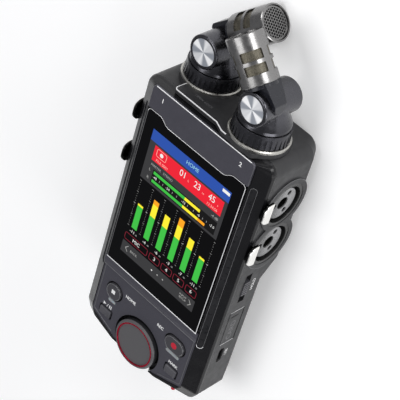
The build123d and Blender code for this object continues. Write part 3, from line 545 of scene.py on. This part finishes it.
def screen_words():
    white = Artwork("screen_white_words", glow("screen_white", (0.82, 0.82, 0.80)), *layer(3))
    pale = Artwork("screen_pale_words", glow("screen_pale", (0.36, 0.36, 0.35)), *layer(3))
    pink = Artwork("screen_pink_words", glow("screen_pink", (0.95, 0.42, 0.38)), *layer(3))
    cyan = Artwork("screen_title_words", glow("screen_cyan", (0.30, 0.62, 0.72)), *layer(3))
    cyan.text("HOME", 1.2, 33.9, 2.0)
    white.rect((19.6, 24.0), (34.2, 35.8))
    white.disc(-16.2, 26.9, 1.05)
    pink.frame((-19.3, -13.1), (24.8, 29.0), 0.28, 1.0)
    for digits, x in (("01", -2.4), ("23", 6.6), ("45", 15.8)):
        white.text(digits, x, 26.7, 3.5, squeeze=0.86)
    for unit, x in (("h", 1.3), ("m", 10.6), ("s", 19.8)):
        pink.text(unit, x, 25.6, 1.2)
    pink.text("FILE 0001", -18.6, 22.8, 1.4, "LEFT")
    pink.text("12:34:56", 20.4, 22.8, 1.4, "RIGHT")
    pale.text("MASTER   STEREO", -20.5, 19.2, 1.25, "LEFT")
    pale.text("-4 dB", 22.2, 19.0, 1.4, "RIGHT")
    pale.text("L", -20.4, 16.0, 1.5)
    pale.text("R", -20.4, 11.4, 1.5)
    for words, x in (("-48", -16.4), ("-24", -8.0), ("-12", 2.2), ("-6", 11.8), ("-2 0", 20.2)):
        white.text(words, x, 13.7, 1.3)
    for x in WELL_TICKS:
        pale.rect((x - 0.12, x + 0.12), (13.2, 14.2))
    for column in range(SCALE_COLUMNS):
        x = SCALE_X + SCALE_STEP * column
        for row in range(SCALE_ROWS):
            y = METER_LOW + (SCALE_TOP - METER_LOW) * row / (SCALE_ROWS - 1)
            half = 0.5 if row % 5 == 0 else 0.16
            art = white if row == 10 else pale
            art.rect((x - half, x + half), (y - 0.08, y + 0.08))
    for x, level in zip(METER_X, LEVELS):
        white.text(level, x - 0.4, -22.4, 1.7)
        pale.text("dB", x + 2.1, -22.7, 0.8)
    for words, x in (("MIC", -16.1), ("3", -3.8), ("4", 4.3), ("5", 12.3), ("6", 20.5)):
        white.text(words, x, -26.7, 2.0)
    pale.text("BACK", -15.8, FOOT_Y, 1.3)
    pale.text("INPUT", 19.6, -32.3, 1.15, "RIGHT")
    pale.text("SETUP", 19.6, -34.0, 1.15, "RIGHT")
    for x, side in ((-20.9, 1), (22.2, -1)):
        for end in (1, -1):
            tip = (x - side * 0.6, FOOT_Y)
            far = (x + side * 1.0, FOOT_Y + end * 1.8)
            inner_far = (far[0] + side * 0.35, far[1])
            inner_tip = (tip[0] + side * 0.5, FOOT_Y)
            pale.outline([tip, far, inner_far, inner_tip])
    for x, art in ((-3.4, white), (0.4, pale), (4.0, pale)):
        art.disc(x, FOOT_Y, 0.42, 12)
    for art in (white, pale, pink, cyan):
        art.done(slot="screen")
    boxes = Artwork("screen_channel_boxes", glow("screen_dark_red", (0.22, 0.012, 0.028)), *layer(2))
    for low, high in ((-23.7, -8.5), (-7.3, -0.3), (0.8, 7.8), (8.8, 15.8), (17.0, 24.0)):
        boxes.frame((low, high), (-28.8, -24.6), 0.3, 1.1)
    boxes.done(slot="screen")


PRINT = 0.03           # thickness of printed labels
LABEL_WEIGHT = 0.06    # how much the letters are fattened


def printed_labels():
    panel = Artwork("panel_labels", white_print.material, PANEL_Z, PANEL_Z + PRINT)
    panel.text("HOME", -10.6, -60.2, 1.7, bold=LABEL_WEIGHT)
    panel.text("REC", 10.0, -60.2, 1.7, bold=LABEL_WEIGHT)
    panel.text("MARK", 23.2, -74.2, 1.6, bold=LABEL_WEIGHT)
    panel.outline([(-25.6, -75.2), (-23.8, -74.2), (-25.6, -73.2)])
    panel.outline([(-23.3, -75.3), (-23.0, -75.3), (-22.2, -73.1), (-22.5, -73.1)])
    panel.rect((-21.6, -21.1), (-75.2, -73.2))
    panel.rect((-20.6, -20.1), (-75.2, -73.2))
    panel.done(slot="light_bar")
    bezel = Artwork("channel_digits", white_print.material, BEZEL_Z, BEZEL_Z + PRINT)
    bezel.text("1", -23.9, 52.4, 2.3, bold=LABEL_WEIGHT)
    bezel.text("2", 23.9, 52.4, 2.3, bold=LABEL_WEIGHT)
    bezel.done(slot="light_bar")
    stop_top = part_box("stop_button")[1].z / MM
    stop = Artwork("stop_mark", white_print.material, stop_top, stop_top + PRINT)
    stop.rect((-22.1, -19.9), (-64.2, -62.0))
    stop.done("stop_key", "light_bar")
    rec_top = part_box("rec_button")[1].z / MM
    record = Artwork("record_mark", red_lens.material, rec_top, rec_top + PRINT)
    record.disc(*REC_AT, 1.75)
    record.done("record_key", "red_lens")


SIDE_X = 38.5          # the right-hand side wall
TO_SIDE = Matrix(((0, 0, 1, 0), (1, 0, 0, 0), (0, 1, 0, 0), (0, 0, 0, 1)))
TO_TOP = Matrix(((1, 0, 0, 0), (0, 0, 1, 0), (0, -1, 0, 0), (0, 0, 0, 1)))


def wall_words(name, words, place, height, turn, material, body=ROOT):
    """Lettering on a side or top wall: raised by the thickness of print."""
    mesh = lettering(words, height, PRINT)
    mesh.transform(Matrix.Translation(at(*place)) @ turn)
    mesh.materials.append(material)
    obj = linked(name, mesh)
    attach(obj, body)


def wall_labels():
    wall_words("hold_words", "HOLD", (SIDE_X, -16.5, 17.9), 1.9, TO_SIDE, white_print.material)
    wall_words("lock_words", "OPEN  LOCK", (-8.5, 60.4, 29.6), 1.3, TO_TOP, engraved.material)
    wall_words("port_words", "USB", (SIDE_X, -60.5, 19.9), 1.7, TO_SIDE, white_print.material)
    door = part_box("sd_door")
    door_x, door_z = door[1].x / MM, (door[0].z + door[1].z) / 2 / MM
    wall_words("card_words", "CARD", (door_x, -44.0, door_z), 3.4, TO_SIDE, engraved.material,
               "card_door")


screen_backgrounds()
screen_meters()
screen_words()
printed_labels()
wall_labels()


# ---- painted highlights: bright beads along edges -------------------------------------------
def trim(name, points, radius_mm, closed=False, body=ROOT, finish=painted_highlight):
    """Narrow rounded bead along a line of points, in millimetres from the display's middle; it draws a
    painted highlight along an edge.
    """
    curve = bpy.data.curves.new(name, "CURVE")
    curve.dimensions = "3D"
    curve.bevel_depth = radius_mm * MM
    curve.bevel_resolution = 2
    curve.use_fill_caps = True
    spline = curve.splines.new("POLY")
    spline.points.add(len(points) - 1)
    for point, place in zip(spline.points, points):
        point.co = (*at(*place), 1.0)
    spline.use_cyclic_u = closed
    mesh = as_mesh(curve)
    for face in mesh.polygons:
        face.use_smooth = True
    mesh.materials.append(finish.material)
    obj = linked(name, mesh)
    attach(obj, body)


def stadium_points(half_length, half_width, steps=8):
    """Points round a slot shape, along its length then across."""
    points = []
    for end in (1, -1):
        for step in range(steps + 1):
            a = math.radians(90 - 180 * step / steps)
            points.append((end * (half_length - half_width + half_width * math.cos(a)),
                           end * half_width * math.sin(a)))
    return points


RAIL_LOW, RAIL_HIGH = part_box("side_rails")
RAIL_MIDDLE_X, RAIL_MIDDLE_Z = 33.26, 35.36
RAIL_SLOPE = (0.848, -0.53)           # across the bevel, from its front edge to the side


def rail_outline(sign):
    """Points for a painted highlight line round one side rail, lying on the front bevel."""
    middle_y = ((RAIL_LOW.y + RAIL_HIGH.y) / 2 - MIDDLE.y) / MM
    half_length = (RAIL_HIGH.y - RAIL_LOW.y) / 2 / MM
    points = []
    for along, across in stadium_points(half_length, 1.62):
        x = RAIL_MIDDLE_X + across * RAIL_SLOPE[0]
        z = RAIL_MIDDLE_Z + across * RAIL_SLOPE[1]
        points.append((sign * x, middle_y + along, z))
    return points


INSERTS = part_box("combo_inserts_right")
INSERT_R = (INSERTS[1].z - INSERTS[0].z) / 2
JACK_Z = (INSERTS[1].z + INSERTS[0].z) / 2 / MM
JACK_Y = [(y - MIDDLE.y) / MM for y in (INSERTS[1].y - INSERT_R, INSERTS[0].y + INSERT_R)]
JACK_RIM_X, JACK_RIM_R = 39.15, 13.95      # outer edge of the round surrounds


def arc(x, y, radius, start, end, steps=5):
    """Points of a rounded corner, from one angle to another in degrees."""
    turns = [math.radians(start + (end - start) * step / steps) for step in range(steps + 1)]
    return [(x + radius * math.cos(a), y + radius * math.sin(a)) for a in turns]


def window_outline():
    """Right half of the window's upper edge, from its middle to the top of its side."""
    dip = [(0, 41.9), (17.0, 41.9), (18.4, 42.3), (21.4, 44.4), (22.6, 44.8)]
    return dip + arc(28.4, 43.0, 1.8, 90, 0)


def painted_edge_highlights():
    """Every painted highlight line, bright or dim, along edges of the case and the buttons."""
    top_z = BEZEL_Z - 0.04
    low_z = GLASS_Z - 0.05
    half = window_outline()
    top = [(-x, y) for x, y in reversed(half[1:])] + half
    side_x, side_y = half[-1]
    trim("window_upper_edge", [(x, y, low_z) for x, y in top], 0.13)
    trim("window_right_edge", [(side_x, side_y, low_z), (30.2, -45.7, low_z)], 0.17)
    trim("window_left_edge", [(-side_x, side_y, low_z), (-30.2, -45.7, low_z)], 0.12, finish=painted_dim_highlight)
    trim("window_lower_edge", [(-30.4, -45.8, low_z), (30.4, -45.8, low_z)], 0.24)
    trim("bezel_top_edge", [(-29.0, 57.2, top_z), (29.0, 57.2, top_z)], 0.24)
    corner = arc(28.9, 55.2, 2.0, 90, 0) + [(30.9, 45.4)]
    for name, sign in (("left", -1), ("right", 1)):
        trim("bezel_side_edge_" + name, [(sign * x, y, top_z) for x, y in corner], 0.1, finish=painted_dim_highlight)
        trim("rail_edge_" + name, rail_outline(sign), 0.09, closed=True, finish=painted_dim_highlight)
    trim("ridge_lower_edge", [(-31.0, -51.4, 36.8), (31.0, -51.4, 36.8)], 0.2, finish=painted_dim_highlight)
    panel = [(30.2, -52.4)] + arc(28.7, -80.6, 1.5, 0, -60) + [(16.6, -86.6)]
    for name, sign in (("left", -1), ("right", 1)):
        line = [(sign * x, y, PANEL_Z + 0.02) for x, y in panel]
        trim("panel_edge_" + name, line, 0.15, finish=painted_dim_highlight)
    for side, sign in (("left", -1), ("right", 1)):
        for number, (jack_y, facing) in enumerate(zip(JACK_Y, (1, -1)), 1):
            rim = arc(0, JACK_Z, JACK_RIM_R, 67, -145, 24)
            ring = [(sign * JACK_RIM_X, jack_y + facing * y, z) for y, z in rim]
            trim("jack_rim_%s_%d" % (side, number), ring, 0.1, finish=painted_dim_highlight)
    rail_end = [point for point in rail_outline(1) if point[1] < -45]
    trim("rail_end_right", rail_end, 0.12)
    stop_z, rec_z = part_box("stop_button")[1].z / MM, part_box("rec_button")[1].z / MM
    stop_rim = [(x, y, stop_z) for x, y in arc(*STOP_AT, 4.35, 0, 350, 35)]
    trim("stop_rim", stop_rim, 0.12, True, "stop_key", painted_dim_highlight)
    rec_rim = [(REC_AT[0] + x, REC_AT[1] + y, rec_z) for x, y in stadium_points(5.75, 3.85, 12)]
    trim("record_rim", rec_rim, 0.12, True, "record_key", painted_dim_highlight)
    for name, y in (("upper", -31.15), ("lower", -52.35)):
        trim("card_edge_highlight_" + name, [(SIDE_X, y, 18.2), (SIDE_X, y, 27.2)], 0.1)
    deck_z, deck_y = 34.45, 60.2
    front = [(-21.6, 22.0), (-21.8, 33.2), (-21.3, 34.0), (-20.6, deck_z), (4.0, deck_z), (9.2, 36.85),
             (12.0, 36.95)]
    trim("deck_front_edge", [(x, deck_y, z) for x, z in front], 0.3)


painted_edge_highlights()


# ---- perforated capsule fronts ----------------------------------------------------------------
def perforated_front(side):
    """Domed, perforated disc with a rolled rim, standing for the plain grille plate."""
    low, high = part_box("capsule_grille_" + side)
    centre = (low + high) / 2
    lean = {"left": Vector((1, 1, 0)), "right": Vector((-1, 1, 0))}[side].normalized()
    crown, fall = 0.4 * MM, 0.35 * MM     # height of the dome's middle, and its drop to the rim
    radius = (high.z - low.z) / 2
    across = Vector((0, 0, 1))
    along = lean.cross(across)
    bm = bmesh.new()
    pitch, hole, thick = 1.45 * MM, 0.6 * MM, 0.45 * MM
    cell = pitch / math.sqrt(3)

    def spot(x, y, depth):
        flat = math.sqrt(x * x + y * y) / radius
        lift = crown - fall * flat * flat - depth
        return centre + along * x + across * y + lean * lift

    def quads(first, second):
        count = len(first)
        turn = [(i, (i + 1) % count) for i in range(count)]
        return [bm.faces.new((first[i], first[j], second[j], second[i])) for i, j in turn]

    for row in range(-7, 8):
        for column in range(-7, 8):
            x = (column + (row % 2) / 2) * pitch
            y = row * pitch * math.sqrt(3) / 2
            if math.hypot(x, y) > radius - 0.9 * MM:
                continue
            loops = []
            for size, depth, is_hole in ((cell, 0, False), (hole, 0, True), (hole, thick, True)):
                loop = []
                for step in range(12):
                    a = math.radians(30 * step + 30)
                    reach = size if is_hole or step % 2 == 0 else size * math.cos(math.radians(30))
                    loop.append(bm.verts.new(spot(x + reach * math.cos(a), y + reach * math.sin(a), depth)))
                loops.append(loop)
            quads(loops[0], loops[1])
            # Painted shade: the hole walls take the capsule's black, standing for the shade inside the
            # holes.
            for face in quads(loops[1], loops[2]):
                face.material_index = 1
    steps = 48
    rims = []
    for reach, depth in ((radius - 1.05 * MM, 0.02 * MM), (radius - 0.75 * MM, -0.02 * MM),
                         (radius - 0.3 * MM, 0.0), (radius, 0.35 * MM), (radius, 0.8 * MM)):
        turns = [2 * math.pi * i / steps for i in range(steps)]
        rims.append([bm.verts.new(spot(reach * math.cos(a), reach * math.sin(a), depth)) for a in turns])
    for first, second in zip(rims, rims[1:]):
        quads(first, second)
    bmesh.ops.remove_doubles(bm, verts=bm.verts, dist=0.01 * MM)
    bmesh.ops.recalc_face_normals(bm, faces=bm.faces)
    mesh = bpy.data.meshes.new("perforated_front_" + side)
    bm.to_mesh(mesh)
    mesh.materials.append(sleeve_finish(side + "_front"))
    # Second slot: painted shade for the hole walls.
    mesh.materials.append(capsule_black_and_hole_shade.material)
    obj = linked("perforated_front_" + side, mesh)
    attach(obj, "mic_" + side)
    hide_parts("capsule_grille_" + side)


for side in ("left", "right"):
    perforated_front(side)


# ---- floor, light and camera ----------------------------------------------------------------
FLOOR_HALF = 4.0       # metres
FLOOR_GLOW = 0.17      # keeps the sweep near white under a soft light
WORLD_COLOR = (0.95, 0.96, 1.0, 1.0)
WORLD_STRENGTH = 0.28


def floor():
    mesh = bpy.data.meshes.new("floor")
    half = FLOOR_HALF
    corners = [(-half, -half, 0), (half, -half, 0), (half, half, 0), (-half, half, 0)]
    mesh.from_pydata(corners, [], [(0, 1, 2, 3)])
    f = Finish("floor_paper", (0.93, 0.93, 0.93), 0.9)
    f.bump(f.noise(2.0, 3), 0.02)
    f.set("Emission Color", (1.0, 1.0, 1.0, 1.0)).set("Emission Strength", FLOOR_GLOW)
    mesh.materials.append(f.material)
    obj = linked("floor", mesh)


def softbox(name, place, size, power, aim=(0, 0, 0.02)):
    light = bpy.data.lights.new(name, "AREA")
    light.shape = "RECTANGLE"
    light.size, light.size_y = size
    light.energy = power
    obj = linked(name, light)
    obj.location = place
    obj.rotation_mode = "QUATERNION"
    obj.rotation_quaternion = (Vector(aim) - Vector(place)).to_track_quat("-Z", "Y")


def studio():
    floor()
    world = bpy.data.worlds.new("studio")
    world.use_nodes = True
    background = world.node_tree.nodes["Background"]
    background.inputs["Color"].default_value = WORLD_COLOR
    background.inputs["Strength"].default_value = WORLD_STRENGTH
    bpy.context.scene.world = world
    softbox("overhead", (-0.15, 0.15, 1.1), (0.7, 0.5), 5.0)
    softbox("key_right", (0.95, -0.15, 0.35), (0.35, 0.7), 4.0)
    softbox("back_top", (-0.1, 1.0, 0.35), (0.8, 0.25), 4.0)
    softbox("corner", (0.72, 0.72, 0.22), (0.3, 0.4), 3.0)
    softbox("front_fill", (0.1, -1.0, 0.3), (0.8, 0.3), 1.5)
    bpy.context.scene.view_settings.view_transform = "Standard"


CAMERA_AT = Vector((305.8, 455.66, 494.0)) * MM
CAMERA_AIM = Vector((2.56, 3.0, 25.83)) * MM
CAMERA_ROLL = math.radians(-116.3)
CAMERA_LENS = 144.0    # mm


def camera():
    data = bpy.data.cameras.new("camera")
    data.lens = CAMERA_LENS
    data.sensor_width = SENSOR
    data.clip_start = 0.01
    obj = linked("camera", data)
    obj.location = CAMERA_AT
    obj.rotation_mode = "QUATERNION"
    facing = (CAMERA_AIM - CAMERA_AT).to_track_quat("-Z", "Y")
    obj.rotation_quaternion = facing @ Quaternion((0, 0, 1), CAMERA_ROLL)
    bpy.context.scene.camera = obj


studio()
camera()
